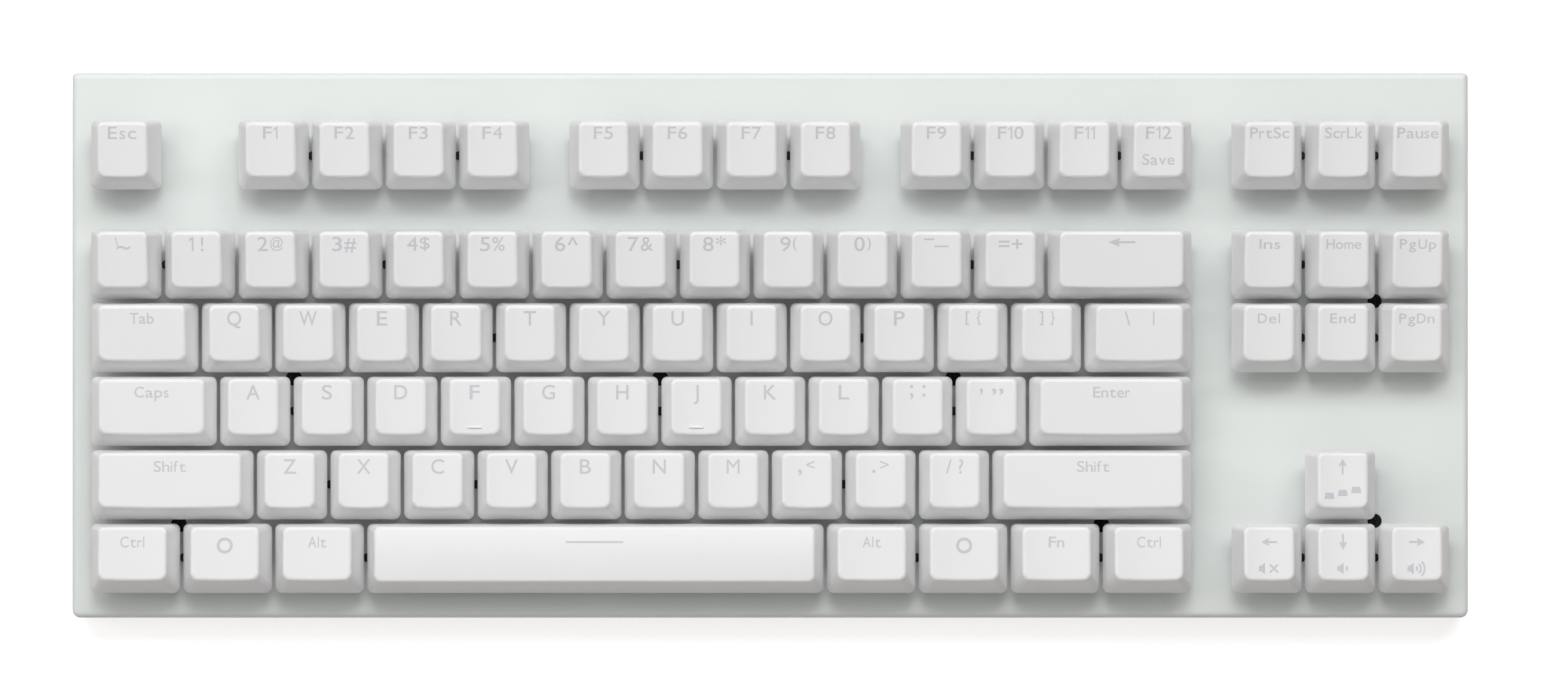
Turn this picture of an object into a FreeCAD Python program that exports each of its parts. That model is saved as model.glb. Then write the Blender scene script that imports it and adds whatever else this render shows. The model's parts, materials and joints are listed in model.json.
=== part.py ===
import FreeCAD, Part
import math
import os

# Tenkeyless mechanical keyboard with 87 keys standing clear above a flat top panel.
# Everything is modelled in the panel's own frame: X to the right, Y to the rear, Z up from
# the panel's upper face, origin at the panel's centre. The last step tilts the finished
# keyboard to its typing angle and stands it on the desk: z = 0 is the desk, and the origin
# is the middle of the keyboard's footprint.

Vector = FreeCAD.Vector
X_AXIS = Vector(1, 0, 0)
Y_AXIS = Vector(0, 1, 0)
ORIGIN = Vector(0, 0, 0)

# ---------------------------------------------------------------- driving dimensions (mm)
KEY_PITCH = 19.05
BODY_WIDTH = 363.2
BODY_DEPTH = 141.8
TYPING_ANGLE = 4.5
FIELD_UNITS = 18.5
FUNCTION_ROW_FROM_REAR = 21.6
FUNCTION_ROW_STEP = 28.3

PANEL_THICKNESS = 1.5
PANEL_SKIRT_DEPTH = 5.0
PANEL_SKIRT_WALL = 1.9
PANEL_EDGE_RADIUS = 1.6
REAR_CORNER_RADIUS = 1.2
FRONT_CORNER_RADIUS = 2.0
SEAM_GAP = 0.3

CASE_FRONT_HEIGHT = 13.0
CASE_WALL = 2.2
CASE_FLOOR = 2.2
CASE_EDGE_RADIUS = 1.2
LIP_INSET = 2.1
LIP_WALL = 1.5
LIP_TOP = -2.0
LIP_ROOT = -7.0
BOSS_RADIUS = 2.9

KEY_TRAVEL = 4.0
KEY_REST_RIM = 6.0
CAP_SIDE_GAP = 0.88
CAP_ROW_GAP = 1.12
CAP_BASE_REAR_RADIUS = 1.5
CAP_BASE_FRONT_RADIUS = 1.8
CAP_TOP_REAR_RADIUS = 1.7
CAP_TOP_FRONT_RADIUS = 2.05
CAP_SIDE_RUN = 2.75
CAP_DISH_DEPTH = 0.75
CAP_EDGE_RADIUS = 0.9
CAP_WALL = 1.3
CAP_ROOF = 1.95
CAP_BOSS_RADIUS = 2.75
SPACE_CROWN_RADIUS = 48.0
SPACE_CROWN_SINK = 0.45
SPACE_CROWN_LIFT = 0.6

SWITCH_CUTOUT = 14.0
FLANGE_SIZE = 15.6
FLANGE_HEIGHT = 1.0
HOUSING_TOP = 6.6
HOUSING_ROOF = 1.1
COVER_BASE = (13.8, 13.8)
COVER_TOP = (9.8, 9.0)
COVER_INSIDE_BASE = (11.6, 11.6)
COVER_INSIDE_TOP = (8.8, 7.9)
CAVITY = 11.5
CAVITY_FLOOR = -4.0
BORE_RADIUS = 1.55
ROD_RADIUS = 1.2
STEM_TOP = 10.2
STEM_SHOULDER = 6.5
CROSS_ARM = 4.0
CROSS_WIDTH = 1.2
POST_RADIUS = 2.0
POST_BOTTOM = -8.3
SPRING_RADIUS = 2.15
SPRING_WIRE = 0.4
SPRING_TURNS = 5
CONTACT_X = 5.0
CONTACT_THICKNESS = 0.25

BOARD_TOP = -5.0
BOARD_THICKNESS = 1.6
BOARD_BOTTOM = BOARD_TOP - BOARD_THICKNESS
LED_Y = 4.7
LED_SIZE = (2.8, 1.3, 0.9)
CHIP_SIZE = (10.0, 10.0, 1.4)
CHIP_PLACE = Vector(-30.0, 35.0, 0)
USB_TAB_WIDTH = 24.0

STABILISER_SPREAD = 11.938
SPACE_STABILISER_SPREAD = 50.0
STAB_WIDTH = 6.4
STAB_DEPTH = 12.0
STAB_HEIGHT = 2.4
STAB_BRIM = 0.6
SLIDER_SIZE = (4.4, 5.0)
SLIDER_PLAY = 0.3
WIRE_RADIUS = 0.6
WIRE_PIVOT_Y = 7.7
WIRE_PIVOT_Z = -2.4
WIRE_ARM = WIRE_PIVOT_Y
WIRE_RISE = math.degrees(math.asin(KEY_TRAVEL / 2 / WIRE_ARM))

MAIN_SCREW_HEAD_RADIUS = 2.05
SIDE_SCREW_HEAD_RADIUS = 1.85
SCREW_HEAD_HEIGHT = 1.0
SCREW_SHANK_RADIUS = 1.25
SCREW_SETBACK = 0.9
SCREW_DRIVE = (2.2, 0.5, 0.6)
PIN_HEAD_RADIUS = 1.15
PIN_HEAD_HEIGHT = 0.45
PIN_SHANK_RADIUS = 0.8

USB_X = -104.0
USB_WIDTH = 8.94
USB_HEIGHT = 3.2
USB_LENGTH = 7.35
USB_MOUTH_WIDTH = 8.34
USB_MOUTH_HEIGHT = 2.56

FOAM_WIDTH = 344.0
FOAM_THICKNESS = 2.0
FOAM_FRONT_Y = 6.0
FOAM_REAR_Y = 108.0
FOAM_HOLE_RADIUS = 3.4

# Rubber feet: X and Y from the middle of the front edge of the underside, and width.
RUBBER_PADS = [
    (-120.0, 9.0, 44.0),
    (120.0, 9.0, 44.0),
    (-108.0, 128.0, 36.0),
    (108.0, 128.0, 36.0),
]
RUBBER_DEPTH = 8.0
RUBBER_RECESS = 0.8
RUBBER_STAND = 1.0
FOOT_X = 150.0
FOOT_PIVOT_Y = 132.0
FOOT_PIVOT_Z = 2.4
FOOT_THICKNESS = 4.0
FOOT_LENGTH = 12.0
FOOT_WIDTH = 26.0
FOOT_PIN_RADIUS = 1.3
FOOT_PIN_REACH = 1.7
FOOT_SIDE_GAP = 0.4
WELL_FRONT_Y = 113.0
WELL_REAR_Y = 134.6
WELL_HEIGHT = 5.0
WELL_WALL = 1.8

# ---------------------------------------------------------------- key layout
# Each row from left to right. A number after "_" is an empty stretch in key units.
ROWS = {
    "function": "escape _1 f1 f2 f3 f4 _0.5 f5 f6 f7 f8 _0.5 f9 f10 f11 f12"
                " _0.5 print scroll pause",
    "number": "grave one two three four five six seven eight nine zero minus equals"
              " backspace _0.5 insert home page_up",
    "upper": "tab q w e r t y u i o p left_bracket right_bracket backslash"
             " _0.5 delete end page_down",
    "middle": "caps a s d f g h j k l semicolon quote enter",
    "lower": "left_shift z x c v b n m comma period slash right_shift _1.5 up",
    "bottom": "left_ctrl left_system left_alt space right_alt right_system function"
              " right_ctrl _0.5 left down right",
}

WIDE_KEYS = {
    "backspace": 2.0, "tab": 1.5, "backslash": 1.5, "caps": 1.75, "enter": 2.25,
    "left_shift": 2.25, "right_shift": 2.75, "space": 6.25,
    "left_ctrl": 1.25, "left_system": 1.25, "left_alt": 1.25,
    "right_alt": 1.25, "right_system": 1.25, "function": 1.25, "right_ctrl": 1.25,
}

STABILISED_KEYS = ["backspace", "enter", "left_shift", "right_shift", "space"]

# Keys that share a node because a part may have only so many nodes.
KEY_GROUPS = {
    "function_keys": "f1 f2 f3 f4 f5 f6 f7 f8 f9 f10 f11 f12",
    "number_keys": "grave one two three four five six seven eight nine zero minus equals",
    "punctuation_keys": "left_bracket right_bracket backslash semicolon quote comma period"
                        " slash",
    "modifier_keys": "tab caps left_ctrl left_system left_alt right_alt right_system"
                     " function right_ctrl",
    "navigation_keys": "print scroll pause insert home page_up delete end page_down",
    "arrow_keys": "up left down right",
}

HOMING_KEYS = ["f", "j"]

# Plan run of a cap's front and rear slopes, and the heights of its top edges over its rim.
CAP_PROFILES = {
    "function": {"front_run": 3.24, "rear_run": 0.8, "front_rise": 9.4, "rear_rise": 11.6},
    "number": {"front_run": 2.95, "rear_run": 0.7, "front_rise": 9.4, "rear_rise": 11.8},
    "upper": {"front_run": 3.25, "rear_run": 0.6, "front_rise": 7.35, "rear_rise": 8.65},
    "middle": {"front_run": 3.3, "rear_run": 0.55, "front_rise": 7.2, "rear_rise": 7.2},
    "lower": {"front_run": 3.4, "rear_run": 0.55, "front_rise": 8.3, "rear_rise": 7.6},
    "bottom": {"front_run": 3.8, "rear_run": 0.6, "front_rise": 9.7, "rear_rise": 8.6},
}

# Black locating pins, between two keys of a row: distance from the left end in key units.
PIN_UNITS = {
    "function": [3, 5, 7.5, 9.5, 12, 14, 16.5, 17.5],
    "number": [1, 4, 8, 12, 16.5],
    "upper": [5.5, 10.5, 16.5, 17.5],
    "middle": [2.75, 7.75, 11.75],
    "lower": [3.25, 5.25, 10.25],
    "bottom": [1.25, 3.75, 11.25, 13.75, 16.5, 17.5],
}

# Panel screws, on the line between the named row and the one in front of it.
SCREW_UNITS = {"upper": [2.75, 7.75, 11.75], "lower": [1.18, 13.77]}
CLUSTER_SCREW_UNITS = {"number": [17.5], "lower": [17.5]}


# ---------------------------------------------------------------- layout in millimetres
def unit_x(units):
    """X of a place given in key units from the left end of the key field."""
    return (units - FIELD_UNITS / 2) * KEY_PITCH


def row_centres():
    """Y of each row's centre line, from the rear row to the front row."""
    y = BODY_DEPTH / 2 - FUNCTION_ROW_FROM_REAR
    centres = {"function": y}
    y -= FUNCTION_ROW_STEP
    for row in list(ROWS)[1:]:
        centres[row] = y
        y -= KEY_PITCH
    return centres


ROW_Y = row_centres()


def lay_out_keys():
    """Every key as a dictionary of its name, row, width in units and centre."""
    keys = []
    for row, line in ROWS.items():
        left = 0.0
        for word in line.split():
            if word.startswith("_"):
                left += float(word[1:])
                continue
            units = WIDE_KEYS.get(word, 1.0)
            centre = Vector(unit_x(left + units / 2), ROW_Y[row], 0)
            keys.append({"name": word, "row": row, "units": units, "centre": centre})
            left += units
    return keys


KEYS = lay_out_keys()


def node_of(name):
    """The node that a key belongs to."""
    for group, members in KEY_GROUPS.items():
        if name in members.split():
            return group
    if len(name) == 1:
        return "letter_" + name
    return name + "_key"


def stabiliser_offsets(key):
    """X offsets of a key's two stabiliser sliders from its centre, or none."""
    if key["name"] not in STABILISED_KEYS:
        return []
    spread = SPACE_STABILISER_SPREAD if key["name"] == "space" else STABILISER_SPREAD
    return [-spread, spread]


def pin_places():
    """The centre of each locating pin."""
    return [Vector(unit_x(u), ROW_Y[row], 0) for row, us in PIN_UNITS.items() for u in us]


def lay_out_screws():
    """The centre and head radius of five main screws and two smaller ones at the side."""
    screws = []
    for units, setback, radius in (
            (SCREW_UNITS, SCREW_SETBACK, MAIN_SCREW_HEAD_RADIUS),
            (CLUSTER_SCREW_UNITS, 0.0, SIDE_SCREW_HEAD_RADIUS)):
        for row, us in units.items():
            y = ROW_Y[row] - KEY_PITCH / 2 - setback
            screws += [(Vector(unit_x(u), y, 0), radius) for u in us]
    return screws


def screw_places():
    """The centre of each panel screw."""
    return [place for place, _ in lay_out_screws()]


# ---------------------------------------------------------------- small shape helpers
def box(width, depth, low_z, high_z, centre=ORIGIN):
    """An upright box around a centre line."""
    corner = Vector(centre.x - width / 2, centre.y - depth / 2, low_z)
    return Part.makeBox(width, depth, high_z - low_z, corner)


def cylinder(radius, low_z, high_z, centre=ORIGIN):
    """An upright cylinder around a centre line."""
    return Part.makeCylinder(radius, high_z - low_z, Vector(centre.x, centre.y, low_z))


def rectangle_wire(width, depth, rear_radius, front_radius=None):
    """A rectangle with rounded corners in the XY plane, centred on the origin."""
    x, y = width / 2, depth / 2
    edges = []
    corners = [(1, -1), (1, 1), (-1, 1), (-1, -1)]
    for i, (sx, sy) in enumerate(corners):
        radius = front_radius if front_radius and sy < 0 else rear_radius
        bulge = radius * (1 - math.sqrt(0.5))
        before = Vector(sx * (x - radius), sy * y, 0)
        after = Vector(sx * x, sy * (y - radius), 0)
        if i % 2:
            before, after = after, before
        middle = Vector(sx * (x - bulge), sy * (y - bulge), 0)
        if edges:
            edges.append(Part.makeLine(edges[-1].Vertexes[-1].Point, before))
        edges.append(Part.Arc(before, middle, after).toShape())
    edges.append(Part.makeLine(edges[-1].Vertexes[-1].Point, edges[0].Vertexes[0].Point))
    return Part.Wire(edges)


def tapered_block(lower, low_z, upper, high_z, radius):
    """A block whose rounded plan changes from (width, depth) lower to upper."""
    bottom = rectangle_wire(lower[0], lower[1], radius)
    bottom.translate(Vector(0, 0, low_z))
    top = rectangle_wire(upper[0], upper[1], radius)
    top.translate(Vector(0, 0, high_z))
    return Part.makeLoft([bottom, top], True, True)


def placed(shape, centre):
    """A copy of a shape, moved from the origin to a centre."""
    copy = shape.copy()
    copy.translate(centre)
    return copy


def at_every_key(shape):
    """A copy of a shape at the centre of each key, as separate solids."""
    return Part.makeCompound([placed(shape, key["centre"]) for key in KEYS])


def upright_edges(shape, side):
    """A block's vertical corner edges on the rear side (+1) or the front side (-1)."""
    found = []
    for edge in shape.Edges:
        first, last = edge.Vertexes[0].Point, edge.Vertexes[-1].Point
        upright = abs(first.x - last.x) < 1e-6 and abs(first.y - last.y) < 1e-6
        if upright and first.y * side > 0:
            found.append(edge)
    return found


# ---------------------------------------------------------------- typing angle and desk
FLOOR_ORIGIN = Vector(0, -BODY_DEPTH / 2, -CASE_FRONT_HEIGHT)


def from_floor(shape):
    """Bring a shape drawn flat on the case's underside, Y from the front, to the panel's frame."""
    tilted = shape.copy()
    tilted.rotate(ORIGIN, X_AXIS, -TYPING_ANGLE)
    tilted.translate(FLOOR_ORIGIN)
    return tilted


def floor_z(y):
    """Height of the case's underside at a Y of the panel's frame."""
    return -CASE_FRONT_HEIGHT - (y + BODY_DEPTH / 2) * math.tan(math.radians(TYPING_ANGLE))


# ---------------------------------------------------------------- top panel
def make_top_panel():
    """The flat cover: a sheet with a short skirt, open under every key."""
    panel = box(BODY_WIDTH, BODY_DEPTH, -PANEL_SKIRT_DEPTH, 0)
    panel = panel.makeFillet(REAR_CORNER_RADIUS, upright_edges(panel, 1))
    panel = panel.makeFillet(FRONT_CORNER_RADIUS, upright_edges(panel, -1))
    rim = [edge for edge in panel.Edges if edge.BoundBox.ZMin > -1e-6]
    panel = panel.makeFillet(PANEL_EDGE_RADIUS, rim)
    inner_width = BODY_WIDTH - 2 * PANEL_SKIRT_WALL
    inner_depth = BODY_DEPTH - 2 * PANEL_SKIRT_WALL
    panel = panel.cut(box(inner_width, inner_depth, -PANEL_SKIRT_DEPTH - 1, -PANEL_THICKNESS))

    low, high = -PANEL_THICKNESS - 1, 1
    tools = [box(SWITCH_CUTOUT, SWITCH_CUTOUT, low, high, key["centre"]) for key in KEYS]
    for key in KEYS:
        for offset in stabiliser_offsets(key):
            front, rear = -STAB_DEPTH / 2 - 0.2, WIRE_PIVOT_Y + WIRE_RADIUS + 0.25
            centre = key["centre"] + Vector(offset, (front + rear) / 2, 0)
            tools.append(box(STAB_WIDTH + 0.3, rear - front, low, high, centre))
    tools += [cylinder(PIN_SHANK_RADIUS + 0.05, low, high, place) for place in pin_places()]
    for place, radius in lay_out_screws():
        tools.append(screw_head(place, radius, 0.05))
        tools.append(cylinder(SCREW_SHANK_RADIUS + 0.1, low, high, place))
    return panel.cut(Part.makeCompound(tools))


# ---------------------------------------------------------------- fasteners
def screw_head(place, radius, clearance=0.0):
    """A countersunk head with its face flush with the panel."""
    top = radius + clearance
    bottom = SCREW_SHANK_RADIUS + clearance
    base = place + Vector(0, 0, -SCREW_HEAD_HEIGHT)
    cone = Part.makeCone(bottom, top, SCREW_HEAD_HEIGHT, base)
    if clearance:
        cone = cone.fuse(cylinder(top, 0, 0.5, place))
    return cone


def make_panel_screws():
    """Countersunk cross-head screws that hold the panel down on the case's bosses."""
    length, width, depth = SCREW_DRIVE
    screws = []
    for place, radius in lay_out_screws():
        screw = screw_head(place, radius)
        tip = floor_z(place.y) + CASE_FLOOR + 3.0
        screw = screw.fuse(cylinder(SCREW_SHANK_RADIUS, tip, -SCREW_HEAD_HEIGHT / 2, place))
        screws.append(screw.cut(placed(cross(length, width, -depth, 0.1), place)))
    return Part.makeCompound(screws)


def make_locating_pins():
    """Small round-headed pins that tie the panel to the board between keys."""
    pin = cylinder(PIN_HEAD_RADIUS, 0.0, PIN_HEAD_HEIGHT)
    top = [edge for edge in pin.Edges if edge.BoundBox.ZMin > PIN_HEAD_HEIGHT - 1e-3]
    pin = pin.makeFillet(0.25, top)
    pin = pin.fuse(cylinder(PIN_SHANK_RADIUS, BOARD_BOTTOM - 0.5, 0.1))
    return Part.makeCompound([placed(pin, place) for place in pin_places()])


# ---------------------------------------------------------------- bottom case
def case_profile(inset, floor_inset, top_z):
    """The case's side outline as a face in the YZ plane: level top, sloping floor."""
    front, rear = -BODY_DEPTH / 2 + inset, BODY_DEPTH / 2 - inset
    outline = [
        Vector(0, front, top_z),
        Vector(0, rear, top_z),
        Vector(0, rear, floor_z(rear) + floor_inset),
        Vector(0, front, floor_z(front) + floor_inset),
    ]
    return Part.Face(Part.makePolygon(outline + outline[:1]))


def case_block(inset, floor_inset, top_z):
    """A solid wedge inside the case's outline."""
    width = BODY_WIDTH - 2 * inset
    block = case_profile(inset, floor_inset, top_z).extrude(Vector(width, 0, 0))
    block.translate(Vector(-width / 2, 0, 0))
    return block


def well_box(side, wall):
    """The space of a tilt foot's well, or the block around it, drawn on the underside."""
    centre = Vector(side * FOOT_X, (WELL_FRONT_Y + WELL_REAR_Y) / 2, 0)
    width = FOOT_WIDTH + 2 * FOOT_SIDE_GAP + 2 * wall
    depth = WELL_REAR_Y - WELL_FRONT_Y + 2 * wall
    low = 0 if wall else -1
    return from_floor(box(width, depth, low, WELL_HEIGHT + wall, centre))


def make_bottom_case():
    """The wedge-shaped tray that holds the board, with wells for the feet."""
    seam = -PANEL_SKIRT_DEPTH - SEAM_GAP
    case = case_block(0, 0, seam)
    case = case.makeFillet(REAR_CORNER_RADIUS, upright_edges(case, 1))
    case = case.makeFillet(FRONT_CORNER_RADIUS, upright_edges(case, -1))
    underside = [edge for edge in case.Edges if lies_on_underside(edge)]
    case = case.makeFillet(CASE_EDGE_RADIUS, underside)
    case = case.cut(case_block(CASE_WALL, CASE_FLOOR, seam + 1))

    lip_width, lip_depth = BODY_WIDTH - 2 * LIP_INSET, BODY_DEPTH - 2 * LIP_INSET
    lip = box(lip_width, lip_depth, LIP_ROOT, LIP_TOP)
    lip = lip.cut(box(lip_width - 2 * LIP_WALL, lip_depth - 2 * LIP_WALL, LIP_ROOT - 1, 0))
    additions = [lip]
    for place in screw_places():
        base = floor_z(place.y) + CASE_FLOOR / 2
        additions.append(cylinder(BOSS_RADIUS, base, BOARD_BOTTOM, place))
    additions += [well_box(side, WELL_WALL) for side in (-1, 1)]
    case = case.fuse(additions).removeSplitter()

    cuts = [well_box(side, 0) for side in (-1, 1)]
    for side in (-1, 1):
        pin_length = FOOT_WIDTH + 2 * (FOOT_PIN_REACH + 0.4)
        start = Vector(side * FOOT_X - pin_length / 2, FOOT_PIVOT_Y, FOOT_PIVOT_Z)
        hole = Part.makeCylinder(FOOT_PIN_RADIUS + 0.1, pin_length, start, X_AXIS)
        cuts.append(from_floor(hole))
    for place in screw_places():
        bottom = floor_z(place.y) + CASE_FLOOR + 2.0
        cuts.append(cylinder(SCREW_SHANK_RADIUS + 0.05, bottom, BOARD_BOTTOM + 1, place))
    for x, y, width in RUBBER_PADS:
        recess = box(width + 0.3, RUBBER_DEPTH + 0.3, -1, RUBBER_RECESS, Vector(x, y, 0))
        cuts.append(from_floor(recess))
    cuts.append(usb_passage())
    return case.cut(Part.makeCompound(cuts))


def lies_on_underside(edge):
    """Whether an edge lies in the case's sloping underside."""
    return all(abs(v.Z - floor_z(v.Y)) < 1e-4 for v in edge.Vertexes)


def usb_passage():
    """The opening in the rear wall around the socket."""
    width, height = USB_WIDTH + 0.6, USB_HEIGHT + 0.3
    low = BOARD_BOTTOM - height + 0.1
    return box(width, 14, low, low + height, Vector(USB_X, BODY_DEPTH / 2, 0))


# ---------------------------------------------------------------- feet
def make_rubber_feet():
    """Four soft pads let into the underside."""
    pads = []
    for x, y, width in RUBBER_PADS:
        pad = box(width, RUBBER_DEPTH, -RUBBER_STAND, RUBBER_RECESS, Vector(x, y, 0))
        low = [edge for edge in pad.Edges if edge.BoundBox.ZMax < 0]
        pads.append(from_floor(pad.makeFillet(0.4, low)))
    return Part.makeCompound(pads)


def make_tilt_foot(side):
    """A flip-out foot with its two pins, folded flat into its well."""
    pivot = Vector(side * FOOT_X, FOOT_PIVOT_Y, FOOT_PIVOT_Z)
    left = pivot - Vector(FOOT_WIDTH / 2, 0, 0)
    barrel = Part.makeCylinder(FOOT_THICKNESS / 2, FOOT_WIDTH, left, X_AXIS)
    low = FOOT_PIVOT_Z - FOOT_THICKNESS / 2
    middle = pivot - Vector(0, FOOT_LENGTH / 2, 0)
    arm = box(FOOT_WIDTH, FOOT_LENGTH, low, low + FOOT_THICKNESS, middle)
    tip = [edge for edge in arm.Edges if edge.BoundBox.YMax < pivot.y - FOOT_LENGTH + 1e-6]
    arm = arm.makeFillet(1.0, tip)
    pin_length = FOOT_WIDTH + 2 * FOOT_PIN_REACH
    start = pivot - Vector(pin_length / 2, 0, 0)
    pins = Part.makeCylinder(FOOT_PIN_RADIUS, pin_length, start, X_AXIS)
    foot = barrel.fuse([arm, pins]).removeSplitter()
    window = box(FOOT_WIDTH - 9, FOOT_LENGTH - 6, -1, low + 1.5, middle - Vector(0, 1, 0))
    return from_floor(foot.cut(window))


# ---------------------------------------------------------------- board and electronics
def make_circuit_board():
    """The board under the panel, with a tab that carries the USB socket."""
    width = FIELD_UNITS * KEY_PITCH
    front = ROW_Y["bottom"] - KEY_PITCH / 2
    rear = ROW_Y["function"] + KEY_PITCH / 2
    centre = Vector(0, (front + rear) / 2, 0)
    board = box(width, rear - front, BOARD_BOTTOM, BOARD_TOP, centre)
    tab_rear = BODY_DEPTH / 2 - LIP_INSET - LIP_WALL - 0.3
    tab_front = rear - 4
    tab_centre = Vector(USB_X, (tab_rear + tab_front) / 2, 0)
    tab = box(USB_TAB_WIDTH, tab_rear - tab_front, BOARD_BOTTOM, BOARD_TOP, tab_centre)
    board = board.fuse(tab).removeSplitter()
    low, high = BOARD_BOTTOM - 1, BOARD_TOP + 1
    tools = []
    for key in KEYS:
        tools.append(cylinder(POST_RADIUS + 0.05, low, high, key["centre"]))
        tools.append(cylinder(0.8, low, high, key["centre"] + Vector(CONTACT_X, 0, 0)))
        for offset in stabiliser_offsets(key):
            tools.append(box(6.0, 9.0, low, high, key["centre"] + Vector(offset, 0, 0)))
    tools += [cylinder(SCREW_SHANK_RADIUS + 0.3, low, high, p) for p in screw_places()]
    tools += [cylinder(PIN_SHANK_RADIUS + 0.1, low, high, p) for p in pin_places()]
    return board.cut(Part.makeCompound(tools))


def make_key_leds():
    """One small lamp on the board beside each switch's post."""
    width, depth, height = LED_SIZE
    return at_every_key(box(width, depth, BOARD_TOP, BOARD_TOP + height, Vector(0, LED_Y, 0)))


def make_controller_chip():
    """The controller under the board, its lower edges chamfered."""
    width, depth, height = CHIP_SIZE
    chip = box(width, depth, BOARD_BOTTOM - height, BOARD_BOTTOM, CHIP_PLACE)
    low = [edge for edge in chip.Edges if edge.BoundBox.ZMax < BOARD_BOTTOM - height / 2]
    return chip.makeChamfer(0.3, low)


def make_usb_socket():
    """A USB-C socket under the board's tab: a shell with its tongue."""
    mouth = BODY_DEPTH / 2 - 0.2
    middle_z = BOARD_BOTTOM - USB_HEIGHT / 2
    outer = rectangle_wire(USB_WIDTH, USB_HEIGHT, 1.5)
    inner = rectangle_wire(USB_MOUTH_WIDTH, USB_MOUTH_HEIGHT, 1.2)
    tongue = rectangle_wire(6.7, 0.7, 0.2)
    solids = []
    for wire, length in ((outer, USB_LENGTH), (inner, USB_LENGTH - 1.0), (tongue, 5.5)):
        prism = Part.Face(wire).extrude(Vector(0, 0, length))
        prism.rotate(ORIGIN, X_AXIS, 90)
        prism.translate(Vector(USB_X, mouth, middle_z))
        solids.append(prism)
    shell, space, blade = solids
    blade.translate(Vector(0, -1.0, 0))
    return shell.cut(space).fuse(blade).removeSplitter()


def make_sound_foam():
    """A sheet on the case's floor, cut out around the screw bosses."""
    centre = Vector(0, (FOAM_FRONT_Y + FOAM_REAR_Y) / 2, 0)
    top = CASE_FLOOR + FOAM_THICKNESS
    sheet = from_floor(box(FOAM_WIDTH, FOAM_REAR_Y - FOAM_FRONT_Y, CASE_FLOOR, top, centre))
    tools = [cylinder(FOAM_HOLE_RADIUS, -30, 0, place) for place in screw_places()]
    return sheet.cut(Part.makeCompound(tools))


# ---------------------------------------------------------------- switches
def make_switch_base():
    """The lower housing: a square cup with a flange on the panel and a centre post."""
    base = box(SWITCH_CUTOUT - 0.1, SWITCH_CUTOUT - 0.1, BOARD_TOP, FLANGE_HEIGHT / 2)
    base = base.fuse([
        box(FLANGE_SIZE, FLANGE_SIZE, 0, FLANGE_HEIGHT),
        cylinder(POST_RADIUS, POST_BOTTOM, BOARD_TOP),
    ]).removeSplitter()
    tools = [
        box(CAVITY, CAVITY, CAVITY_FLOOR, FLANGE_HEIGHT + 1),
        cylinder(BORE_RADIUS, POST_BOTTOM + 0.4, CAVITY_FLOOR + 1),
        box(3.4, 1.9, BOARD_TOP - 1, CAVITY_FLOOR + 1, Vector(0, LED_Y, 0)),
        box(0.8, 1.4, BOARD_TOP - 1, CAVITY_FLOOR + 1, Vector(CONTACT_X, 0, 0)),
    ]
    return base.cut(tools)


def make_switch_cover():
    """The upper housing: a tapered cap with an opening for the stem."""
    cover = tapered_block(COVER_BASE, FLANGE_HEIGHT, COVER_TOP, HOUSING_TOP, 0.8)
    inside = tapered_block(
        COVER_INSIDE_BASE, FLANGE_HEIGHT, COVER_INSIDE_TOP, HOUSING_TOP - HOUSING_ROOF, 0.6)
    opening = box(7.4, 6.2, HOUSING_TOP - 2, HOUSING_TOP + 1)
    return cover.cut([inside, opening])


def make_switch_spring():
    """The return spring, a coil of square wire around the stem's guide."""
    low, high = CAVITY_FLOOR + 0.3, 0.9
    helix = Part.makeHelix((high - low) / SPRING_TURNS, high - low, SPRING_RADIUS)
    half = SPRING_WIRE / 2
    corners = [(-half, -half), (half, -half), (half, half), (-half, half), (-half, -half)]
    section = Part.makePolygon([Vector(SPRING_RADIUS + x, 0, z) for x, z in corners])
    spring = Part.Wire(helix).makePipeShell([section], True, True)
    spring.translate(Vector(0, 0, low))
    return spring


def make_switch_contact():
    """A contact leaf beside the stem, with its leg down through the board."""
    place = Vector(CONTACT_X, 0, 0)
    leaf = box(CONTACT_THICKNESS, 4.0, CAVITY_FLOOR + 0.1, 0.4, place)
    leg = box(CONTACT_THICKNESS, 0.9, BOARD_BOTTOM - 1.4, 0, place)
    return leaf.fuse(leg).removeSplitter()


def cross(arm, width, low_z, high_z):
    """The cross-shaped post that a keycap presses on to, or its socket."""
    return box(arm, width, low_z, high_z).fuse(box(width, arm, low_z, high_z)).removeSplitter()


def make_switch_stem():
    """The sliding stem: cross, neck, shoulder and guide rod."""
    rest_gap = 0.05
    neck = box(6.8, 5.6, 5.0, STEM_SHOULDER)
    shoulder = box(8.2, 7.2, 1.2, HOUSING_TOP - HOUSING_ROOF - rest_gap)
    rod = cylinder(ROD_RADIUS, -3.4, 1.5)
    post = cross(CROSS_ARM, CROSS_WIDTH, STEM_SHOULDER - 0.5, STEM_TOP)
    return post.fuse([neck, shoulder, rod]).removeSplitter()


# ---------------------------------------------------------------- stabilisers
def make_stabiliser_housing():
    """A guide for one slider, open at its rear for the wire's arm."""
    housing = box(STAB_WIDTH, STAB_DEPTH, BOARD_TOP, STAB_HEIGHT)
    brim = box(STAB_WIDTH + 2 * STAB_BRIM, STAB_DEPTH + 2 * STAB_BRIM, 0.0, FLANGE_HEIGHT)
    housing = housing.fuse(brim).removeSplitter()
    width, depth = [size + 2 * SLIDER_PLAY for size in SLIDER_SIZE]
    well = box(width, depth, BOARD_TOP - 1, 3)
    slot = box(2.4, 12, BOARD_TOP - 1, 3, Vector(0, 6, 0))
    return housing.cut([well, slot])


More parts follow.
